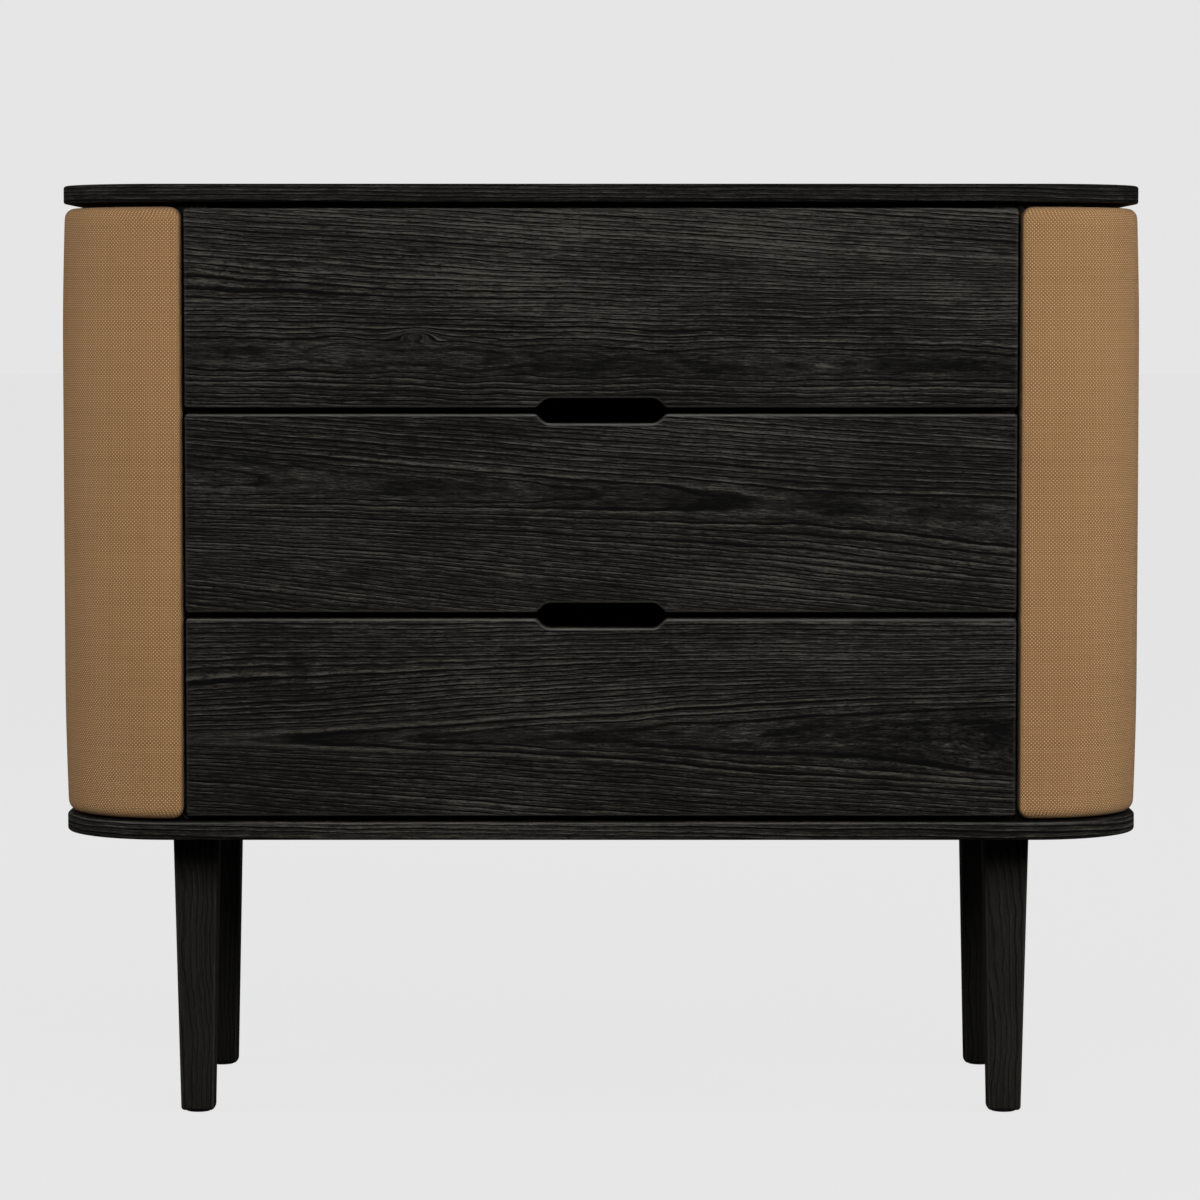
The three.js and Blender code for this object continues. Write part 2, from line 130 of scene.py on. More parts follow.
class Shader:
    """One material's node tree. Each call adds a node and returns the output that later ones read."""

    def __init__(self, name):
        self.material = bpy.data.materials.new(name)
        self.material.use_nodes = True
        self.tree = self.material.node_tree
        self.surface = self.tree.nodes["Principled BSDF"]

    def feed(self, socket, value):
        if isinstance(value, bpy.types.NodeSocket):
            self.tree.links.new(value, socket)
        else:
            socket.default_value = value

    def node(self, kind, inputs, output=0, **settings):
        made = self.tree.nodes.new(f"ShaderNode{kind}")
        for key, value in settings.items():
            setattr(made, key, value)
        for key, value in inputs.items():
            self.feed(made.inputs[key], value)
        return made.outputs[output]

    def math(self, operation, *values, clamp=False):
        return self.node("Math", dict(enumerate(values)), operation=operation, use_clamp=clamp)

    def sum(self, *values):
        total = values[0]
        for value in values[1:]:
            total = self.math("ADD", total, value)
        return total

    def product(self, *values):
        total = values[0]
        for value in values[1:]:
            total = self.math("MULTIPLY", total, value)
        return total

    def remap(self, value, low, high, to_low=0.0, to_high=1.0):
        """value carried smoothly from the range low to high into the range to_low to to_high."""
        inputs = {0: value, 1: low, 2: high, 3: to_low, 4: to_high}
        return self.node("MapRange", inputs, interpolation_type="SMOOTHSTEP")

    def vector(self, x, y=0.0, z=0.0):
        return self.node("CombineXYZ", {0: x, 1: y, 2: z})

    def split(self, vector):
        made = self.node("SeparateXYZ", {0: vector}).node
        return made.outputs[0], made.outputs[1], made.outputs[2]

    def noise(self, x, y, z=0.0, detail=2.0, roughness=0.5):
        """Noise from 0 to 1 round 0.5, at coordinates already scaled to its grain."""
        inputs = {"Vector": self.vector(x, y, z), "Scale": 1.0, "Detail": detail, "Roughness": roughness}
        return self.node("TexNoise", inputs)

    def wobble(self, amount, x, y, z=0.0, detail=2.0):
        """Noise from about -amount to amount."""
        return self.product(self.sum(self.noise(x, y, z, detail), -0.5), 2 * amount)

    def chance(self, value):
        """A random number from 0 to 1 that depends on value alone."""
        return self.node("TexWhiteNoise", {"W": value}, noise_dimensions="1D")

    def blend(self, factor, first, second):
        inputs = {0: factor, 6: colour(first), 7: colour(second)}
        return self.node("Mix", inputs, output=2, data_type="RGBA")

    def ramp(self, value, *stops):
        """A colour ramp through (position, colour) stops."""
        out = self.node("ValToRGB", {0: value})
        elements = out.node.color_ramp.elements
        elements[0].position, elements[0].color = stops[0][0], colour(stops[0][1])
        elements[1].position, elements[1].color = stops[-1][0], colour(stops[-1][1])
        for position, shade in stops[1:-1]:
            elements.new(position).color = colour(shade)
        return out

    def bump(self, height, depth, under=None):
        """Relief depth metres deep where height goes from 0 to 1, on top of another bump."""
        inputs = {"Strength": 1.0, "Distance": depth, "Height": height}
        if under is not None:
            inputs["Normal"] = under
        return self.node("Bump", inputs)

    def finish(self, base, roughness, normal=None, **constants):
        self.feed(self.surface.inputs["Base Color"], base)
        self.feed(self.surface.inputs["Roughness"], roughness)
        if normal is not None:
            self.feed(self.surface.inputs["Normal"], normal)
        for key, value in constants.items():
            self.surface.inputs[key.replace("_", " ")].default_value = value
        return self.material


def colour(value):
    """A grey level, an (r, g, b) in linear light, or a socket, as a colour input takes it."""
    if isinstance(value, bpy.types.NodeSocket):
        return value
    if isinstance(value, (int, float)):
        return (value, value, value, 1.0)
    return (*value, 1.0)


def layer_coordinates(shader, layer):
    """(along, across) in metres, from a mesh layer that a piece was built with."""
    along, across, _ = shader.split(shader.node("UVMap", {}, uv_map=layer))
    return along, across


def grain_layer(shader):
    return layer_coordinates(shader, GRAIN_LAYER)


def axis_coordinates(shader, along_axis):
    """(along, across) in metres for a piece whose grain runs along one axis of the frame."""
    place = shader.split(shader.node("TexCoord", {}, output=3))
    along = place["XYZ".index(along_axis)]
    across = shader.sum(*(p for p, axis in zip(place, "XYZ") if axis != along_axis))
    return along, across


# ---------------------------------------------------------------- wood

GRAIN_LAYER = "Grain"
WEAR_AND_HIGHLIGHT_LAYER = "WearAndHighlight"
WORN_AND_LIT_ASH = (0.17, 0.162, 0.148)  # where the stain has rubbed thin, and the painted highlight that light from above puts on the arrises

# How far the stain has rubbed thin on the arrises, and how bright their painted highlight is, from 0 to 1
ALL_ROUND_WEAR = 0.05  # right round a drawer front
LOWER_WEAR_AND_HIGHLIGHT = 0.18  # rubbed stain and a painted highlight along its lower edge
FRONT_WEAR_AND_HIGHLIGHT = (0.55, 0.6, 0.08)  # painted highlight of light from above, over rubbed stain, along its upper edge; faint on the top drawer, as painted shade under the top board
# down the middle of each leg corner: rubbed stain and a painted highlight
LEG_WEAR_AND_HIGHLIGHT = 0.12
BOARD_WEAR_AND_HIGHLIGHT = 0.35  # rubbed stain and a painted highlight along the bottom board's upper front edge

# How light the stain is, as a share of the side boards'
FRONT_LIGHTNESS = 0.84
TOP_LIGHTNESS = 0.6
BOTTOM_LIGHTNESS = 0.9
FRONT_LEG_LIGHTNESS = 1.15
# the rear legs darker than the front ones: painted shade under the chest
REAR_LEG_SHADED_LIGHTNESS = 0.5
BOX_LIGHTNESS = 1.5

FRONT_CONTRAST = 1.3  # how strongly the grain is marked
LEG_CONTRAST = 0.3
RING_SPACING = 3.1 * MM  # between growth rings
LEG_RING_SPACING = 2.2 * MM


class Figure:
    """How a board was cut from its log: where the heart runs under the face, and how the grain drifts.

    heart is the height of the heart line, depth how far the pith lies behind the face at along = 0, dive
    how fast it goes deeper along the board, eyes how much it weaves in and out, and calm where it turns
    level and steady. drift is how fast the lines fall along the board, and each turn (from height, to
    height, more) makes them fall faster above a height over the heart. Knots are (along, across, half
    length, half height, push). rise makes the wood paler with height: a painted sheen of light from above.
    """

    def __init__(self, seed, heart=0.3, depth=0.02, dive=0.0, eyes=5 * MM, calm=2.0, drift=0.0, turns=(),
                 knots=(), rise=0.0):
        self.seed = seed
        self.heart = heart
        self.depth = depth
        self.dive = dive
        self.eyes = eyes
        self.calm = calm
        self.drift = drift
        self.turns = turns
        self.knots = knots
        self.rise = rise


def grain_lines(s, along, across, figure):
    """(fibre, ring) coordinates in metres: across the fibres, and outwards through the growth rings."""
    height = s.sum(across, -figure.heart)
    turns = [s.remap(height, low, high, 0.0, more) for low, high, more in figure.turns]
    slope = s.sum(figure.drift, *turns)
    bend = s.wobble(4 * MM, s.product(along, 3.5), s.product(across, 9), figure.seed)
    ripple = s.wobble(0.7 * MM, s.product(along, 30), s.product(across, 80), figure.seed + 7)
    fibre = s.sum(height, s.product(along, slope), bend, ripple)
    for knot_along, knot_across, half_length, half_height, push in figure.knots:
        dx = s.product(s.sum(along, -knot_along), 1 / half_length)
        dz = s.product(s.sum(across, -knot_across), 1 / half_height)
        square = s.sum(s.product(dx, dx), s.product(dz, dz))
        fibre = s.sum(fibre, s.product(s.math("EXPONENT", s.product(square, -1.0)), push))
    weaving = s.wobble(figure.eyes, s.product(along, 13), s.product(across, 25), figure.seed + 3, 3.0)
    steady = s.remap(along, figure.calm - 0.03, figure.calm + 0.06, 1.0, 0.2)
    dive = s.product(s.math("MINIMUM", along, figure.calm), figure.dive)
    pith = s.sum(figure.depth, dive, s.product(weaving, steady))
    ring = s.math("SQRT", s.sum(s.product(fibre, fibre), s.product(pith, pith)))
    return fibre, ring


def ash(name, coordinates, figure, spacing=RING_SPACING, lightness=1.0, contrast=1.0):
    """Open-grained ash under black stain and matt lacquer, its stain rubbed thinner on its edges, with a
    painted highlight on its arrises.
    """
    s = Shader(name)
    along, across = coordinates(s)
    fibre, ring = grain_lines(s, along, across, figure)

    off_heart = s.remap(s.math("ABSOLUTE", fibre), 0.0, 12 * MM, 0.25, 1.0)
    stains = s.noise(s.product(along, 24), s.product(across, 75), figure.seed + 6, 2.0)
    stains = s.product(s.remap(stains, 0.5, 0.66), s.math("SUBTRACT", 1.0, off_heart))
    uneven = s.wobble(1.0, s.product(ring, 130), s.product(along, 2), figure.seed)
    phase = s.sum(s.product(ring, 1 / spacing), uneven)
    part = s.math("FRACT", phase)
    year = s.math("FLOOR", phase)
    early = s.product(
        s.remap(part, 0.0, 0.07),
        s.remap(part, 0.14, 0.36, 1.0, 0.0),
        s.remap(s.chance(year), 0.0, 0.6, 0.45, 1.0),
        off_heart,
    )
    # A paler band just past each dark line: part latewood, part a painted highlight on the lit edge of the
    # groove
    latewood_and_highlight = s.product(
        s.remap(part, 0.26, 0.36),
        s.remap(part, 0.4, 0.75, 1.0, 0.0),
        s.remap(s.chance(s.sum(year, 41.3)), 0.0, 1.0, 0.3, 1.0),
        off_heart,
    )

    streaks = s.noise(s.product(along, 28), s.product(fibre, 620), figure.seed + 1, 3.0, 0.65)
    fibres = s.noise(s.product(along, 75), s.product(fibre, 1300), figure.seed + 2, 3.0, 0.8)
    dashes = s.noise(s.product(along, 240), s.product(fibre, 2600), figure.seed + 4, 1.0)
    open_pores = s.remap(s.sum(dashes, s.product(early, 0.12)), 0.56, 0.66)
    clouds = s.noise(s.product(along, 7), s.product(across, 22), figure.seed + 5, 3.0)
    worn_and_lit = s.node("Attribute", {}, output=2, attribute_name=WEAR_AND_HIGHLIGHT_LAYER)

    marks = s.sum(
        s.product(early, -0.6),
        s.product(latewood_and_highlight, 0.3),
        s.product(s.sum(streaks, -0.5), 0.95),
        s.product(s.sum(fibres, -0.5), 1.7),
        s.product(s.sum(clouds, -0.5), 0.6),
        s.product(open_pores, -0.3),
        s.product(stains, -0.3),
    )
    height = s.sum(across, -figure.heart)
    # figure.rise pales the wood towards the top: a painted sheen of light from above
    tone = s.sum(0.54, s.product(marks, contrast), s.product(height, figure.rise))
    shades = [(0.0, 0.0004), (0.2, 0.002), (0.4, 0.0065), (0.6, 0.0145), (0.8, 0.031), (1.0, 0.075)]
    warm = (1.07, 1.0, 0.82)
    stained = s.ramp(tone, *((at, [lightness * grey * w for w in warm]) for at, grey in shades))
    patchy = s.remap(s.sum(streaks, fibres), 0.6, 1.3, 0.5, 1.0)
    # The arrises turn paler: rubbed stain and a painted highlight, as much as the mesh layer says
    base = s.blend(s.product(worn_and_lit, patchy), stained, WORN_AND_LIT_ASH)
    roughness = s.remap(s.sum(tone, s.product(worn_and_lit, 0.3)), 0.0, 1.0, 0.72, 0.5)
    relief = s.sum(0.7, s.product(early, -0.5), s.product(open_pores, -0.35), s.product(fibres, 0.4))
    normal = s.bump(relief, 0.16 * MM)
    return s.finish(base, roughness, normal, Specular_IOR_Level=0.08)


def birch_ply(name, along_axis):
    """Raw birch plywood: pale, close grain, with its plies showing on the edges."""
    s = Shader(name)
    along, across = axis_coordinates(s, along_axis)
    grain = s.noise(s.product(along, 18), s.product(across, 420), 2.0, 4.0, 0.6)
    flecks = s.noise(s.product(along, 90), s.product(across, 900), 5.0, 2.0)
    tone = s.sum(s.product(grain, 0.7), s.product(flecks, 0.3))
    base = s.ramp(tone, (0.25, (0.33, 0.2, 0.1)), (0.5, (0.52, 0.36, 0.2)), (0.8, (0.66, 0.5, 0.32)))
    return s.finish(base, s.remap(tone, 0, 1, 0.75, 0.6), s.bump(tone, 0.06 * MM))


# ---------------------------------------------------------------- fabric, foam, metal and nylon

YARN = 1.28 * MM
WEAVE_LAYER = "Weave"


def woven(name):
    """Camel upholstery fabric in a tight plain weave, with yarns of uneven thickness and tone, painted
    lighter on their crowns and darker, as painted shade, in the hollows between them.
    """
    s = Shader(name)
    along, across = layer_coordinates(s, WEAVE_LAYER)
    sway = s.wobble(0.22 * MM, s.product(along, 60), s.product(across, 60), 1.0)
    a = s.product(s.sum(along, sway), 1 / YARN)
    b = s.product(s.sum(across, s.product(sway, -0.8)), 1 / YARN)
    wave_a = s.math("SINE", s.product(a, math.pi))
    wave_b = s.math("SINE", s.product(b, math.pi))
    round_a, round_b = s.math("ABSOLUTE", wave_a), s.math("ABSOLUTE", wave_b)
    warp_on_top = s.remap(s.product(wave_a, wave_b), -0.1, 0.1)
    warp = s.product(round_a, s.math("POWER", round_b, 0.45))
    weft = s.product(round_b, s.math("POWER", round_a, 0.45))
    height = s.sum(s.product(warp, warp_on_top), s.product(weft, s.math("SUBTRACT", 1.0, warp_on_top)))

    warp_shade = s.chance(s.math("FLOOR", a))
    weft_shade = s.chance(s.sum(s.math("FLOOR", b), 511.5))
    fuzz = s.noise(s.product(along, 2600), s.product(across, 2600), 3.0, 2.0)
    clouds = s.noise(s.product(along, 14), s.product(across, 14), 9.0, 3.0)
    slubs = s.noise(s.product(along, 110), s.product(across, 110), 5.0, 2.0)
    yarn_tone = s.sum(
        s.product(warp_shade, warp_on_top, 0.08),
        s.product(weft_shade, s.math("SUBTRACT", 1.0, warp_on_top), 0.08),
        # warp crossings paler than weft crossings: part yarn colour, part painted light on the raised
        # crossings
        s.product(s.sum(warp_on_top, -0.5), s.remap(slubs, 0.35, 0.65, 0.35, 0.6)),
    )
    tone = s.sum(
        # the yarns' height: crowns painted paler, hollows between yarns darker, painted shade of the
        # weave's relief
        s.product(height, 0.6),
        yarn_tone,
        s.product(s.sum(fuzz, -0.5), 0.3),
        s.product(s.sum(clouds, -0.5), 0.12),
        0.09,
    )
    base = s.ramp(
        tone,
        (0.0, (0.118, 0.053, 0.019)),
        (0.3, (0.289, 0.155, 0.064)),
        (0.62, (0.449, 0.259, 0.113)),
        (1.0, (0.643, 0.404, 0.208)),
    )
    relief = s.bump(s.sum(height, s.product(fuzz, 0.25)), 0.22 * MM)
    roughness = s.remap(height, 0, 1, 0.95, 0.8)
    return s.finish(base, roughness, relief, Sheen_Weight=0.04, Sheen_Roughness=0.6, Specular_IOR_Level=0.1)


def foam(name):
    """Pale open-cell upholstery foam."""
    s = Shader(name)
    place = s.node("TexCoord", {}, output=3)
    cells = s.node("TexVoronoi", {"Vector": place, "Scale": 900.0})
    x, y, z = s.split(place)
    clouds = s.noise(s.product(x, 12), s.product(y, 12), s.product(z, 12))
    # darker at the bottom of each cell hollow: painted shade
    tone = s.sum(s.product(cells, 0.6), s.product(clouds, 0.5))
    base = s.ramp(tone, (0.1, (0.45, 0.4, 0.27)), (0.8, (0.72, 0.66, 0.5)))
    return s.finish(base, s.remap(cells, 0, 1, 1.0, 0.85), s.bump(cells, 0.3 * MM))


def zinc_steel(name):
    """Rolled steel with bright zinc plating, faint rolling lines and a mottled sheen."""
    s = Shader(name)
    along, across = axis_coordinates(s, "Y")
    lines = s.noise(s.product(along, 5), s.product(across, 2600), 1.0, 3.0, 0.7)
    spots = s.noise(s.product(along, 160), s.product(across, 160), 4.0, 3.0)
    tone = s.sum(s.product(lines, 0.6), s.product(spots, 0.4))
    base = s.ramp(tone, (0.3, (0.36, 0.37, 0.39)), (0.7, (0.6, 0.61, 0.62)))
    return s.finish(base, s.remap(tone, 0.3, 0.7, 0.42, 0.26), s.bump(lines, 0.01 * MM), Metallic=1.0)


def nylon(name):
    """Black moulded nylon with a fine spark-eroded texture, scuffed paler where it is worn."""
    s = Shader(name)
    x, y, z = s.split(s.node("TexCoord", {}, output=3))
    grit = s.noise(s.product(x, 1800), s.product(y, 1800), s.product(z, 1800), 3.0)
    scuffs = s.noise(s.product(x, 160), s.product(y, 260), s.product(z, 160), 3.0)
    base = s.ramp(scuffs, (0.4, 0.008), (0.62, 0.012), (0.8, 0.035))
    return s.finish(base, s.remap(grit, 0.3, 0.7, 0.5, 0.68), s.bump(grit, 0.04 * MM))


# ---------------------------------------------------------------- mesh tools


def new_piece(name, points, faces, layer, coordinates, flat_faces=()):
    """A mesh object from points and faces, with one (along, across) for each face corner."""
    mesh = bpy.data.meshes.new(name)
    mesh.from_pydata(points, [], faces)
    mesh.polygons.foreach_set("use_smooth", [i not in flat_faces for i in range(len(faces))])
    uv = mesh.uv_layers.new(name=layer)
    uv.data.foreach_set("uv", [value for pair in coordinates for value in pair])
    piece = bpy.data.objects.new(name, mesh)
    bpy.context.scene.collection.objects.link(piece)
    return piece


def fit_out(piece, body, slot, material, *nodes):
    """Gives a new piece its material and body, and hides the CAD nodes that it stands for. slot is not
    used.
    """
    piece.data.materials.append(material)
    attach(piece, body)
    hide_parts(*nodes)
    return piece


def travelled(ring):
    """How far round a closed ring each of its points is, with the whole way round at the end."""
    way = [0.0]
    for here, there in zip(ring, ring[1:] + ring[:1]):
        way.append(way[-1] + (Vector(there) - Vector(here)).length)
    return way


def unworn(level, place):
    return 0.0


def loft(name, rings, side_grain, cap_grain, wear_and_highlight=unworn):
    """A closed solid through rings of points that match one for one, with a flat cap on each end.

    side_grain(place, way, point) and cap_grain(point) say where a corner lies along and across the grain,
    where place is its number in its ring and way how far round the ring it is. The last argument, called
    with (level, place), says how far the stain has rubbed thin there and how bright a painted highlight it
    carries.
    """
    count = len(rings[0])
    points = [p for ring in rings for p in ring]
    way = travelled(rings[len(rings) // 2])
    faces, coordinates = [], []
    for level in range(len(rings) - 1):
        for i in range(count):
            j = (i + 1) % count
            low, high = level * count, (level + 1) * count
            corners = [(low, i, way[i]), (low, j, way[i + 1]), (high, j, way[i + 1]), (high, i, way[i])]
            faces.append([start + place for start, place, _ in corners])
            for start, place, reach in corners:
                coordinates.append(side_grain(place, reach, points[start + place]))
    last = (len(rings) - 1) * count
    for cap in ([*range(count)][::-1], [last + i for i in range(count)]):
        faces.append(cap)
        coordinates += [cap_grain(points[index]) for index in cap]
    piece = new_piece(name, points, faces, GRAIN_LAYER, coordinates, {len(faces) - 2, len(faces) - 1})
    worn_and_lit = [wear_and_highlight(level, place) for level in range(len(rings)) for place in range(count)]
    piece.data.attributes.new(WEAR_AND_HIGHLIGHT_LAYER, "FLOAT", "POINT").data.foreach_set("value", worn_and_lit)
    return piece


def rounded_stations(low, high, radius, end_inset):
    """(inset, station) pairs from low to high, rounded over at both ends, with a ring just inside each."""
    turn = [i / ARRIS_STEPS * math.pi / 2 for i in range(ARRIS_STEPS + 1)]
    rise = [(radius * (1 - math.sin(a)), radius * (1 - math.cos(a))) for a in turn]
    start = [(end_inset, low)] + [(inset, low + up) for inset, up in rise]
    end = [(inset, high - up) for inset, up in reversed(rise)] + [(end_inset, high)]
    return start + end


FIRST_ARRIS = {2, 3}  # rings of rounded_stations on its first arris, towards the flat face
LAST_ARRIS = {2 * ARRIS_STEPS - 1, 2 * ARRIS_STEPS}  # and on its last one, towards the sides


# ---------------------------------------------------------------- boards


def plan_ring(inset, z):
    """The boards' outline in plan, inset from its edge, at one height."""
    low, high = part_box("top_board")
    x, y = high.x - CORNER_RADIUS, high.y - CORNER_RADIUS
    ring = []
    for quarter, (sx, sy) in enumerate(((1, 1), (-1, 1), (-1, -1), (1, -1))):
        for step in range(CORNER_STEPS + 1):
            angle = (quarter + step / CORNER_STEPS) * math.pi / 2
            radius = CORNER_RADIUS - inset
            ring.append((sx * x + radius * math.cos(angle), sy * y + radius * math.sin(angle), z))
    return ring


def make_board(node, figure, lightness, wear_and_highlight):
    """A board with rounded plan corners. Its last argument sets the rubbed stain and painted highlight on
    its upper front arris, from 0 to 1.
    """
    low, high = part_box(node)
    stations = rounded_stations(low.z, high.z, BOARD_ARRIS, BOARD_ARRIS + CAP_MARGIN)
    rings = [plan_ring(inset, z) for inset, z in stations]

    def worn_and_lit(level, place):
        """Rubbed stain and a painted highlight along the front edge, ever fainter round its corners:
        painted shade where the padded ends shade it.
        """
        quarter, step = divmod(place, CORNER_STEPS + 1)
        frontward = -math.sin((quarter + step / CORNER_STEPS) * math.pi / 2)
        return wear_and_highlight * max(0.0, frontward) ** 4 * (level in LAST_ARRIS)

    board = loft(f"{node}_ash", rings, lambda _, way, p: (way, p[2]), lambda p: (p[0], p[1]), worn_and_lit)
    material = ash(f"{node}_ash", grain_layer, figure, lightness=lightness)
    return fit_out(board, "carcass", "black_ash", material, node)


# ---------------------------------------------------------------- drawer fronts


def offset_corner(before, corner, after, inset):
    """A corner of an anticlockwise polygon, moved so that both its edges lie inset further in."""
    first, second = (corner - before).normalized(), (after - corner).normalized()
    normal_a, normal_b = Vector((-first.y, first.x)), Vector((-second.y, second.x))
    return corner + (normal_a + normal_b) * (inset / (1 + normal_a.dot(normal_b)))


def rounded_corner(before, corner, after, radius, steps):
    """Points of an arc that rounds one corner of a polygon."""
    to_before, to_after = (before - corner).normalized(), (after - corner).normalized()
    half = to_before.angle(to_after) / 2
    centre = corner + (to_before + to_after).normalized() * (radius / math.sin(half))
    start = corner + to_before * (radius / math.tan(half)) - centre
    end = corner + to_after * (radius / math.tan(half)) - centre
    sweep = start.angle(end)
    return [
        centre + (start * math.sin(sweep * (1 - t)) + end * math.sin(sweep * t)) / math.sin(sweep)
        for t in (i / steps for i in range(steps + 1))
    ]


def front_corners(low, high, pull_below, pull_above):
    """(x, z, radius, hollow) of a drawer front's corners, anticlockwise, with its finger notches."""
    mouth, flat = PULL_MOUTH / 2, PULL_FLAT / 2
    corners = [(low.x, low.z, FRONT_CORNER_RADIUS, False)]
    notches = [(low.z, 1, pull_below), (high.z, -1, pull_above)]
    for edge, inward, wanted in notches:
        if wanted:
            floor = edge + inward * PULL_DEPTH
            corners += [
                (-inward * mouth, edge, PULL_LIP_RADIUS, False),
                (-inward * flat, floor, PULL_FLOOR_RADIUS, True),
                (inward * flat, floor, PULL_FLOOR_RADIUS, True),
                (inward * mouth, edge, PULL_LIP_RADIUS, False),
            ]
        corners.append((inward * high.x, edge, FRONT_CORNER_RADIUS, False))
        if inward > 0:
            corners.append((high.x, high.z, FRONT_CORNER_RADIUS, False))
    return corners


def threes(points):
    """Each point of a closed polygon with the ones before and after it."""
    return list(zip(points[-1:] + points[:-1], points, points[1:] + points[:1]))


def front_ring(corners, inset, y):
    """A drawer front's outline, inset from its edge, at one depth."""
    moved = [offset_corner(*three, inset) for three in threes([Vector((x, z)) for x, z, _, _ in corners])]
    ring = []
    for three, (_, _, radius, hollow) in zip(threes(moved), corners):
        here = radius + inset if hollow else max(radius - inset, SHARPEST)
        ring += [(p.x, y, p.y) for p in rounded_corner(*three, here, FRONT_CORNER_STEPS)]
    return ring


def front_figures():
    """Each front's own cut, from the bottom up.

    The bottom one's lines open to the right, the middle one's tongues point right, and the top one has
    straight grain above a mottled heart with a small knot.
    """
    bottom, middle, top = (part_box(f"{drawer}_front")[0].z for drawer in DRAWERS)
    return (
        Figure(11, heart=bottom + 0.055, depth=0.016, dive=-0.03, eyes=2 * MM, calm=0.12, drift=0.06,
               turns=[(-0.03, 0.02, -0.1), (0.03, 0.06, 0.04)], rise=0.6),
        Figure(23, heart=middle + 0.080, depth=0.016, dive=0.03, eyes=3 * MM, calm=0.14, drift=0.1,
               turns=[(-0.06, 0.0, -0.055), (0.0, 0.04, 0.02)]),
        Figure(5, heart=top + 0.032, depth=0.012, dive=0.0, eyes=6 * MM, drift=0.015,
               turns=[(0.036, 0.075, 0.05)], knots=[(-0.127, top + 0.050, 0.014, 0.004, -0.007)], rise=1.6),
    )


def make_front(drawer, index, figure, wear_and_highlight):
    """A drawer front with its finger notches. Its last argument sets the rubbed stain and painted highlight
    on its upper arris.
    """
    low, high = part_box(f"{drawer}_front")
    corners = front_corners(low, high, index > 0, index < len(DRAWERS) - 1)
    stations = rounded_stations(low.y, high.y, FRONT_ARRIS, FRONT_ARRIS + CAP_MARGIN)
    rings = [front_ring(corners, inset, y) for inset, y in stations]
    outline, inside = rings[len(rings) // 2], rings[0]
    outward = [Vector((a[0] - b[0], 0, a[2] - b[2])).normalized() for a, b in zip(outline, inside)]

    def wrapped(place, _, p):
        """The grain of the face, carried on round the edges."""
        back = p[1] - low.y
        return p[0] + outward[place].x * back, p[2] + outward[place].z * back

    def worn_and_lit(level, place):
        """A painted highlight, of light from above, where the upper arris faces up, a fainter one on the
        lower arris, and a little rubbed stain all round.
        """
        up = outward[place].z
        return (ALL_ROUND_WEAR + (wear_and_highlight if up > 0 else LOWER_WEAR_AND_HIGHLIGHT) * up ** 4) * (level in FIRST_ARRIS)

    name = f"{drawer}_front_ash"
    front = loft(name, rings, wrapped, lambda p: (p[0], p[2]), worn_and_lit)
    material = ash(name, grain_layer, figure, RING_SPACING, FRONT_LIGHTNESS, FRONT_CONTRAST)
    return fit_out(front, drawer, "black_ash", material, f"{drawer}_front")


# ---------------------------------------------------------------- legs


def leg_ring(centre, half, corner, z):
    """A square with rounded corners and slightly swollen faces."""
    ring = []
    flat = half - LEG_BULGE
    inner = flat - corner
    for quarter in range(4):
        middle = (quarter + 0.5) * math.pi / 2
        cx, cy = (math.copysign(inner, f(middle)) for f in (math.cos, math.sin))
        for step in range(LEG_CORNER_STEPS + 1):
            angle = (quarter + step / LEG_CORNER_STEPS) * math.pi / 2
            ring.append((cx + corner * math.cos(angle), cy + corner * math.sin(angle)))
        face = (quarter + 1) * math.pi / 2
        out = Vector((math.cos(face), math.sin(face)))
        along = Vector((-out.y, out.x))
        for t in LEG_FACE_STEPS:
            spot = out * (flat + LEG_BULGE * (1 - t * t)) + along * (inner * t)
            ring.append(tuple(spot))
    return [(centre[0] + x, centre[1] + y, z) for x, y in ring]


def make_leg(name, seed):
    """A square leg that tapers to its foot. The rear pair is painted darker: painted shade under the chest.
    """
    node = f"{name}_leg"
    low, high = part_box(node)
    centre = ((low.x + high.x) / 2, (low.y + high.y) / 2)
    top_half = (high.x - low.x) / 2
    foot_half = top_half - LEG_TAPER
    rings = []
    for step in range(LEG_FOOT_STEPS + 1):
        turn = step / LEG_FOOT_STEPS * math.pi / 2
        inset = LEG_FOOT_RADIUS * (1 - math.sin(turn))
        up = LEG_FOOT_RADIUS * (1 - math.cos(turn))
        rings.append(leg_ring(centre, foot_half - inset, LEG_CORNER_RADIUS - 0.8 * inset, low.z + up))
    for step in range(1, LEG_LEVELS + 1):
        share = step / LEG_LEVELS
        half = foot_half + (top_half - foot_half) * share
        z = low.z + LEG_FOOT_RADIUS + (high.z - low.z - LEG_FOOT_RADIUS) * share
        rings.append(leg_ring(centre, half, LEG_CORNER_RADIUS, z))

    def worn_and_lit(_, place):
        """Only the middle of each rounded corner has rubbed stain and a painted highlight."""
        step = place % (LEG_CORNER_STEPS + 1 + len(LEG_FACE_STEPS))
        return LEG_WEAR_AND_HIGHLIGHT * (abs(step - LEG_CORNER_STEPS / 2) <= 1)

    leg = loft(f"{node}_ash", rings, lambda _, way, p: (p[2], way), lambda p: (p[0], p[1]), worn_and_lit)
    figure = Figure(seed, heart=0.03, depth=0.05, dive=0.02)
    # rear legs darker: painted shade under the chest
    lightness = FRONT_LEG_LIGHTNESS if name.startswith("front") else REAR_LEG_SHADED_LIGHTNESS
    material = ash(f"{node}_ash", grain_layer, figure, LEG_RING_SPACING, lightness, LEG_CONTRAST)
    return fit_out(leg, "carcass", "black_ash", material, node)


# ---------------------------------------------------------------- padded ends


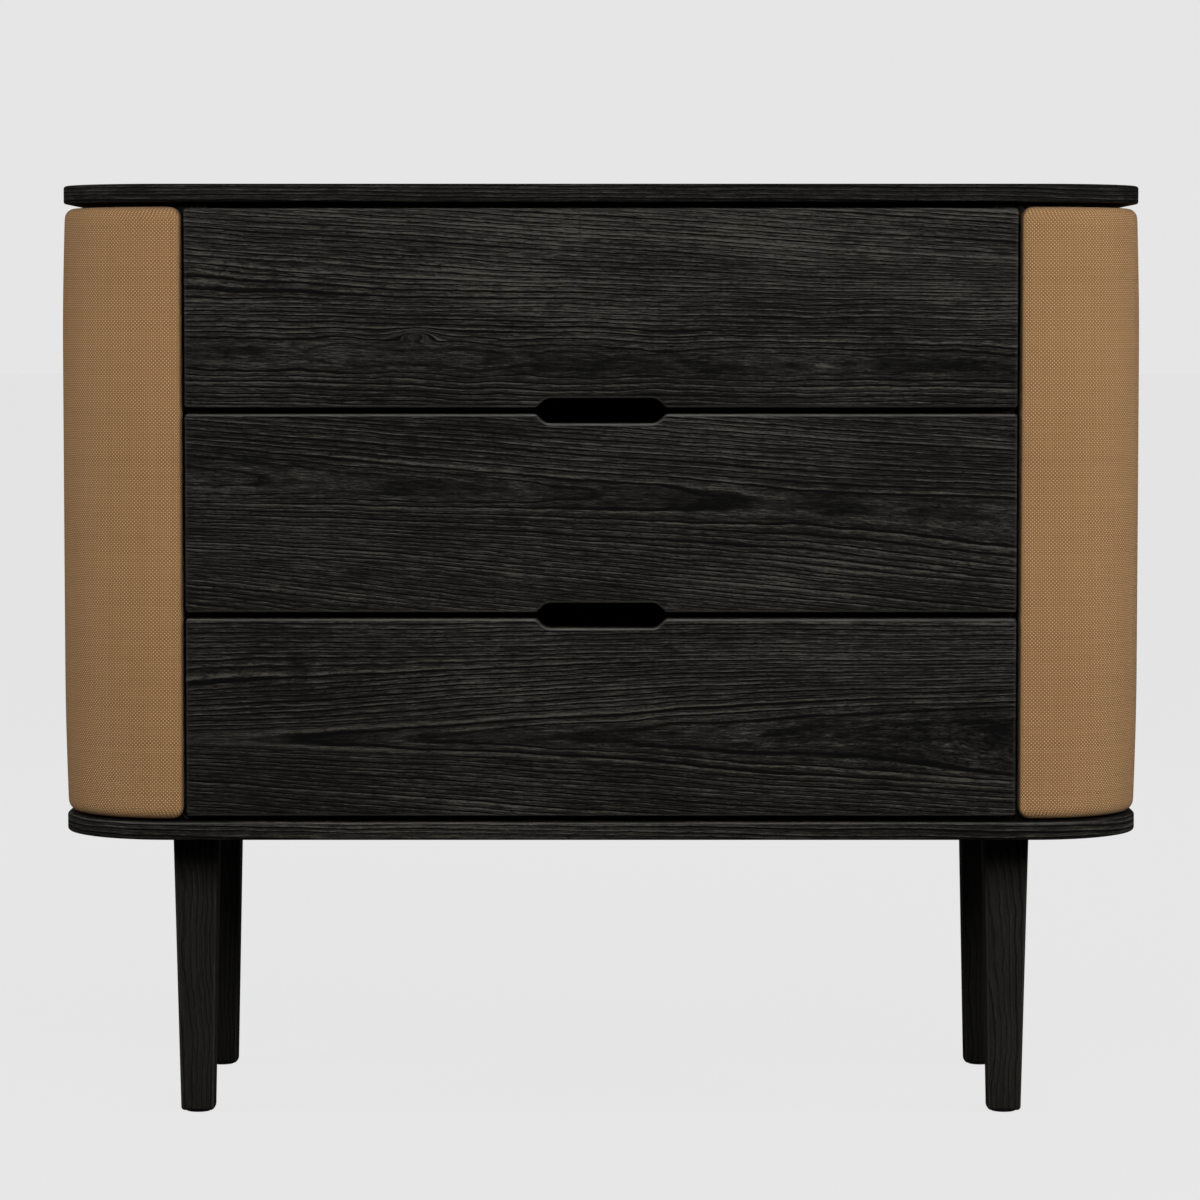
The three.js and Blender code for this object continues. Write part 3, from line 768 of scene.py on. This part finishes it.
class EndPath:
    """The way round one end of the chest, from its front edge to its rear one, in from the outline."""

    def __init__(self, sign, node, inset):
        low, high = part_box(node)
        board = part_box("top_board")[1]
        self.sign = sign
        self.straight = abs(low.x if sign > 0 else high.x)
        self.corner_x = board.x - CORNER_RADIUS
        self.corner_y = board.y - CORNER_RADIUS
        self.radius = CORNER_RADIUS - inset
        self.lead = self.corner_x - self.straight
        self.arc = self.radius * math.pi / 2
        self.length = 2 * self.lead + 2 * self.arc + 2 * self.corner_y

    def at(self, way, depth, z):
        """The point at that way round, depth in from the path, as a tuple."""
        half = self.length / 2
        rear = 1 if way > half else -1
        left = half - abs(way - half)  # how far it is from the nearer end
        if left < self.lead:
            x, y = self.straight + left, self.corner_y + self.radius
            nx, ny = 0.0, 1.0
        elif left < self.lead + self.arc:
            angle = math.pi / 2 - (left - self.lead) / self.radius
            nx, ny = math.cos(angle), math.sin(angle)
            x, y = self.corner_x + self.radius * nx, self.corner_y + self.radius * ny
        else:
            x, y = self.corner_x + self.radius, half - left
            nx, ny = 1.0, 0.0
        return (self.sign * (x - nx * depth), rear * (y - ny * depth), z)


def slab_loop(length, low, high, insets, radius, columns, rows):
    """A rectangle with rounded corners in (way, z), anticlockwise. Its points match those of other loops.

    insets says how far in it lies from the upright edges and from the level ones.
    """
    x0, x1 = insets[0] + radius, length - insets[0] - radius
    z0, z1 = low + insets[1] + radius, high - insets[1] - radius
    sides = [
        ((x0, z0), (x1, z0), -math.pi / 2, columns),
        ((x1, z0), (x1, z1), 0.0, rows),
        ((x1, z1), (x0, z1), math.pi / 2, columns),
        ((x0, z1), (x0, z0), math.pi, rows),
    ]
    loop = []
    for start, end, facing, steps in sides:
        out = (radius * math.cos(facing), radius * math.sin(facing))
        for t in (step / steps for step in range(steps)):
            loop.append(tuple(a + (b - a) * t + o for a, b, o in zip(start, end, out)))
        for step in range(SLAB_CORNER_STEPS):
            angle = facing + step / SLAB_CORNER_STEPS * math.pi / 2
            loop.append((end[0] + radius * math.cos(angle), end[1] + radius * math.sin(angle)))
    return loop


def slab_grid(columns, rows, add, sheet, flip):
    """A flat grid of quads, as (border, faces). The border matches the points of a slab_loop."""
    index = {}
    for i in range(columns + 1):
        for j in range(rows + 1):
            index[i, j] = add(i / columns, j / rows, sheet)
    faces = [
        [index[i, j], index[i + 1, j], index[i + 1, j + 1], index[i, j + 1]][:: -1 if flip else 1]
        for i in range(columns)
        for j in range(rows)
    ]
    stay = SLAB_CORNER_STEPS
    border = [index[i, 0] for i in range(columns)] + [index[columns, 0]] * stay
    border += [index[columns, j] for j in range(rows)] + [index[columns, rows]] * stay
    border += [index[i, rows] for i in range(columns, 0, -1)] + [index[0, rows]] * stay
    border += [index[0, j] for j in range(rows, 0, -1)] + [index[0, 0]] * stay
    return border, faces


def make_slab(name, path, low, high, depth, edge, fall, corner, back_radius, hem=None):
    """A padded slab bent along a path. Its front is rounded over, edge = (upright, level) in and fall back.

    corner is the radius of its corners. A slab with a hem stays open inside it, and one without has a flat
    back. Each point keeps where it lies on the cloth, in way and height, as its weave.
    """
    upright, level = edge
    across, up = path.length - 2 * upright, high - low - 2 * level
    columns, rows = round(across / SLAB_CELL), round(up / SLAB_CELL)
    points, cloth = [], []

    def add(way, z, deep, spot):
        points.append(path.at(way, deep, z))
        cloth.append(spot)
        return len(points) - 1

    def add_sheet(i, j, deep):
        way, z = upright + across * i, low + level + up * j
        return add(way, z, deep, (way, z))

    def add_crowned(i, j, deep):
        rise = CROWN * eased(across * min(i, 1 - i)) * eased(up * min(j, 1 - j))
        return add_sheet(i, j, deep - rise)

    before, faces = slab_grid(columns, rows, add_crowned, 0.0, False)
    face_points = len(points)

    quarter = [i / SLAB_ROUND_STEPS * math.pi / 2 for i in range(SLAB_ROUND_STEPS + 1)]
    rings = []
    for a in quarter[1:]:
        share = 1 - math.sin(a)
        rings.append(((upright * share, level * share), corner * math.sin(a), fall * (1 - math.cos(a))))
    rings.append(((0.0, 0.0), corner, (fall + depth - back_radius) / 2))
    for a in quarter:
        inset = back_radius * (1 - math.cos(a))
        rings.append(((inset, inset), corner, depth - back_radius * (1 - math.sin(a))))
    if hem:
        rings += [((inset, inset), corner, depth) for inset in (hem / 2, hem)]

    reach, last = 0.0, (level, 0.0)
    for insets, radius, deep in rings:
        reach += math.hypot(insets[1] - last[0], deep - last[1])
        last = (insets[1], deep)
        place = slab_loop(path.length, low, high, insets, radius, columns, rows)
        flat = slab_loop(path.length, low, high, (upright - reach, level - reach), reach, columns, rows)
        here = [add(way, z, deep, spot) for (way, z), spot in zip(place, flat)]
        faces += joined(before, here)
        before = here
    if not hem:
        border, back = slab_grid(columns, rows, add_sheet, depth, True)
        faces += joined(before, border) + back

    if path.sign < 0:
        faces = [face[::-1] for face in faces]
    coordinates = [cloth[index] for face in faces for index in face]
    piece = new_piece(name, points, faces, WEAVE_LAYER, coordinates)
    piece.vertex_groups.new(name="held").add(range(face_points, len(points)), 1.0, "REPLACE")
    return piece


def eased(distance):
    """How far the crown has risen, from 0 to 1, that far in from an edge."""
    return math.sin(min(1.0, distance / CROWN_REACH) * math.pi / 2)


def joined(inner, outer):
    """Faces between two loops of matching points. A point that stays put makes a triangle."""
    faces = []
    for k in range(len(inner)):
        m = (k + 1) % len(inner)
        faces.append(list(dict.fromkeys([inner[k], outer[k], outer[m], inner[m]])))
    return faces


def swell(piece, most):
    """Lets the padding push the cloth out with a short cloth simulation, then applies it."""
    scene = bpy.context.scene
    rest = [v.co.copy() for v in piece.data.vertices]
    cloth = piece.modifiers.new("Cloth", "CLOTH")
    cloth.settings.quality = 6
    cloth.settings.mass = 1.0
    cloth.settings.tension_stiffness = 150
    cloth.settings.compression_stiffness = 150
    cloth.settings.shear_stiffness = 80
    cloth.settings.bending_stiffness = 30
    cloth.settings.use_pressure = True
    cloth.settings.uniform_pressure_force = CLOTH_PRESSURE
    cloth.settings.vertex_group_mass = "held"
    cloth.settings.effector_weights.gravity = 0
    cloth.collision_settings.use_collision = False
    cloth.point_cache.frame_start, cloth.point_cache.frame_end = 1, CLOTH_FRAMES
    for number in range(1, CLOTH_FRAMES + 1):
        scene.frame_set(number)
    shown = piece.evaluated_get(bpy.context.evaluated_depsgraph_get())
    swollen = [v.co.copy() for v in shown.data.vertices]
    piece.modifiers.remove(cloth)
    scene.frame_set(1)
    moves = [end - start for start, end in zip(rest, swollen)]
    share = min(1.0, most / max(move.length for move in moves))
    for vertex, start, move in zip(piece.data.vertices, rest, moves):
        vertex.co = start + move * share
    piece.data.update()


def make_cover(side, sign, fabric):
    node = f"{side}_wrap_cover"
    low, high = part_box(node)
    path = EndPath(sign, node, COVER_INSET)
    cover = make_slab(f"{side}_cover_fabric", path, low.z, high.z, COVER_DEPTH, COVER_EDGE, COVER_FALL,
                      COVER_CORNER, COVER_BACK_RADIUS, COVER_HEM)
    swell(cover, COVER_SWELL)
    fine = cover.modifiers.new("Fine", "SUBSURF")
    fine.levels = fine.render_levels = 1
    shell = cover.modifiers.new("Thickness", "SOLIDIFY")
    shell.thickness, shell.offset = FABRIC_THICKNESS, -1
    fit_out(cover, "carcass", "upholstery", fabric, node)


def make_pad(side, sign, material):
    node = f"{side}_wrap_foam"
    low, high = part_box(node)
    path = EndPath(sign, node, FOAM_INSET)
    pad = make_slab(f"{side}_foam_pad", path, low.z, high.z, FOAM_DEPTH, FOAM_EDGE, FOAM_FALL,
                    FOAM_CORNER, FOAM_BACK_RADIUS)
    fit_out(pad, "carcass", "foam", material, node)


# ---------------------------------------------------------------- CAD nodes that keep their shape


def soften(node, width):
    """Rounds a CAD node's sharp edges a little. Its own mesh stays as it is."""
    weld = node.modifiers.new("Weld", "WELD")
    weld.merge_threshold = 0.01 * MM
    bevel = node.modifiers.new("Bevel", "BEVEL")
    bevel.width, bevel.segments = width, 2
    bevel.limit_method, bevel.angle_limit = "ANGLE", math.radians(40)


def dress(names, material, bevel):
    for name in names:
        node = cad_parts[name]
        node.data.materials.clear()
        node.data.materials.append(material)
        soften(node, bevel)


def ash_along(name, axis, figure, lightness=1.0):
    """Stained ash for a CAD node whose grain runs along an axis of the frame."""
    return ash(name, lambda s: axis_coordinates(s, axis), figure, lightness=lightness)


def dress_inside():
    """Materials for the parts behind the fronts and covers, and for the back."""
    def boxed(kind):
        return [f"{drawer}_{kind}" for drawer in DRAWERS]

    along_x = ash_along("box_ash_across", "X", Figure(41, heart=0.9), BOX_LIGHTNESS)
    along_y = ash_along("box_ash_deep", "Y", Figure(43, heart=0.9), BOX_LIGHTNESS)
    upright = ash_along("side_board_ash", "Z", Figure(47, heart=0.9))
    back = ash_along("back_board_ash", "X", Figure(53, heart=0.42, depth=0.03, dive=0.02))
    dress(boxed("back") + boxed("base"), along_x, 0.6 * MM)
    dress(boxed("left_side") + boxed("right_side"), along_y, 0.6 * MM)
    dress([f"{side}_side_board" for side in SIDES], upright, 0.5 * MM)
    dress(["back_board"], back, 0.8 * MM)

    steel = zinc_steel("zinc_steel")
    slides = [f"{drawer}_{side}_slide" for drawer in DRAWERS for side in SIDES]
    members = [f"{slide}_{part}_member" for slide in slides for part in ("cabinet", "middle", "drawer")]
    dress(members, steel, 0.25 * MM)
    dress([f"{leg}_leg_stud" for leg in LEGS], steel, 0.4 * MM)
    dress([f"{leg}_glide" for leg in LEGS], nylon("nylon"), 0.3 * MM)
    dress([f"{side}_wrap_core" for side in SIDES], birch_ply("bent_birch_ply", "Z"), 0.3 * MM)
    formers = [f"{side}_{level}_former" for side in SIDES for level in ("lower", "upper")]
    dress(formers, ash_along("former_stain", "Y", Figure(59, heart=0.9)), 0.3 * MM)


# ---------------------------------------------------------------- camera, floor and light


def make_camera():
    data = bpy.data.cameras.new("camera")
    data.lens, data.sensor_width = CAMERA_LENS, SENSOR_WIDTH
    data.clip_start, data.clip_end = 0.1, 100
    camera = bpy.data.objects.new("camera", data)
    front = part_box("top_board")[0].y
    camera.location = (CAMERA_X, front - CAMERA_DISTANCE, CAMERA_HEIGHT)
    camera.rotation_euler = (math.pi / 2 - CAMERA_PITCH, 0, 0)
    bpy.context.scene.collection.objects.link(camera)
    bpy.context.scene.camera = camera


BACKGROUND = 0.79  # linear grey of the plain backdrop
FLOOR_ALBEDO = 0.04  # low, so that the shadows under the chest stay faint
FLOOR_SHADE = 0.02  # what the lights add to the floor
FLOOR_GLOW = 0.03  # what the chest sees of the floor's own light
SKY_GLOW = 0.09  # what it sees of the room's
FLOOR_REACH = 40.0


def make_floor():
    mesh = bpy.data.meshes.new("floor")
    signs = ((-1, -1), (1, -1), (1, 1), (-1, 1))
    corners = [(x * FLOOR_REACH, y * FLOOR_REACH, CAD_LOW.z) for x, y in signs]
    mesh.from_pydata(corners, [], [(0, 1, 2, 3)])
    floor = bpy.data.objects.new("floor", mesh)
    bpy.context.scene.collection.objects.link(floor)
    s = Shader("floor")
    seen = s.node("LightPath", {})
    glow = s.remap(seen, 0.0, 1.0, FLOOR_GLOW, BACKGROUND - FLOOR_SHADE)
    s.feed(s.surface.inputs["Emission Strength"], glow)
    s.finish(colour(FLOOR_ALBEDO), 0.9, Specular_IOR_Level=0.0, Emission_Color=colour(1.0))
    mesh.materials.append(s.material)


def make_world():
    world = bpy.data.worlds.new("studio")
    world.use_nodes = True
    nodes, links = world.node_tree.nodes, world.node_tree.links
    background = nodes["Background"]
    seen = nodes.new("ShaderNodeLightPath").outputs["Is Camera Ray"]
    shade = nodes.new("ShaderNodeMapRange")
    shade.inputs["To Min"].default_value = SKY_GLOW
    shade.inputs["To Max"].default_value = BACKGROUND
    links.new(seen, shade.inputs["Value"])
    links.new(shade.outputs[0], background.inputs["Strength"])
    background.inputs["Color"].default_value = colour(1.0)
    bpy.context.scene.world = world


def area_light(name, place, target, size, power):
    data = bpy.data.lights.new(name, "AREA")
    data.shape, data.size, data.size_y, data.energy = "RECTANGLE", size[0], size[1], power
    light = bpy.data.objects.new(name, data)
    light.location = place
    light.rotation_euler = (Vector(target) - Vector(place)).to_track_quat("-Z", "Y").to_euler()
    bpy.context.scene.collection.objects.link(light)


def make_lights():
    middle = (0, 0, (CAD_LOW.z + CAD_HIGH.z) / 2)
    area_light("key", (0.5, -2.5, 1.3), middle, (2.2, 0.8), 44)
    area_light("right_panel", (2.6, -0.9, 1.6), middle, (1.4, 1.8), 36.5)
    area_light("left_panel", (-2.6, -0.9, 1.6), middle, (1.4, 1.8), 35)
    area_light("back_panel", (0, 2.4, 1.3), middle, (0.7, 1.2), 12)
    scene = bpy.context.scene
    scene.view_settings.view_transform = "Standard"
    scene.view_settings.look = "None"


# ---------------------------------------------------------------- the chest

make_camera()
make_floor()
make_world()
make_lights()

for index, (drawer, figure, wear_and_highlight) in enumerate(zip(DRAWERS, front_figures(), FRONT_WEAR_AND_HIGHLIGHT)):
    make_front(drawer, index, figure, wear_and_highlight)
make_board("top_board", Figure(31, heart=0.03, depth=0.02, dive=0.04), TOP_LIGHTNESS, 0.0)
make_board("bottom_board", Figure(37, heart=-0.05, depth=0.02, dive=0.04), BOTTOM_LIGHTNESS, BOARD_WEAR_AND_HIGHLIGHT)
for number, name in enumerate(LEGS):
    make_leg(name, 61 + 3 * number)

fabric, foam_material = woven("camel_weave"), foam("pale_foam")
for side, sign in SIDES.items():
    make_cover(side, sign, fabric)
    make_pad(side, sign, foam_material)
dress_inside()
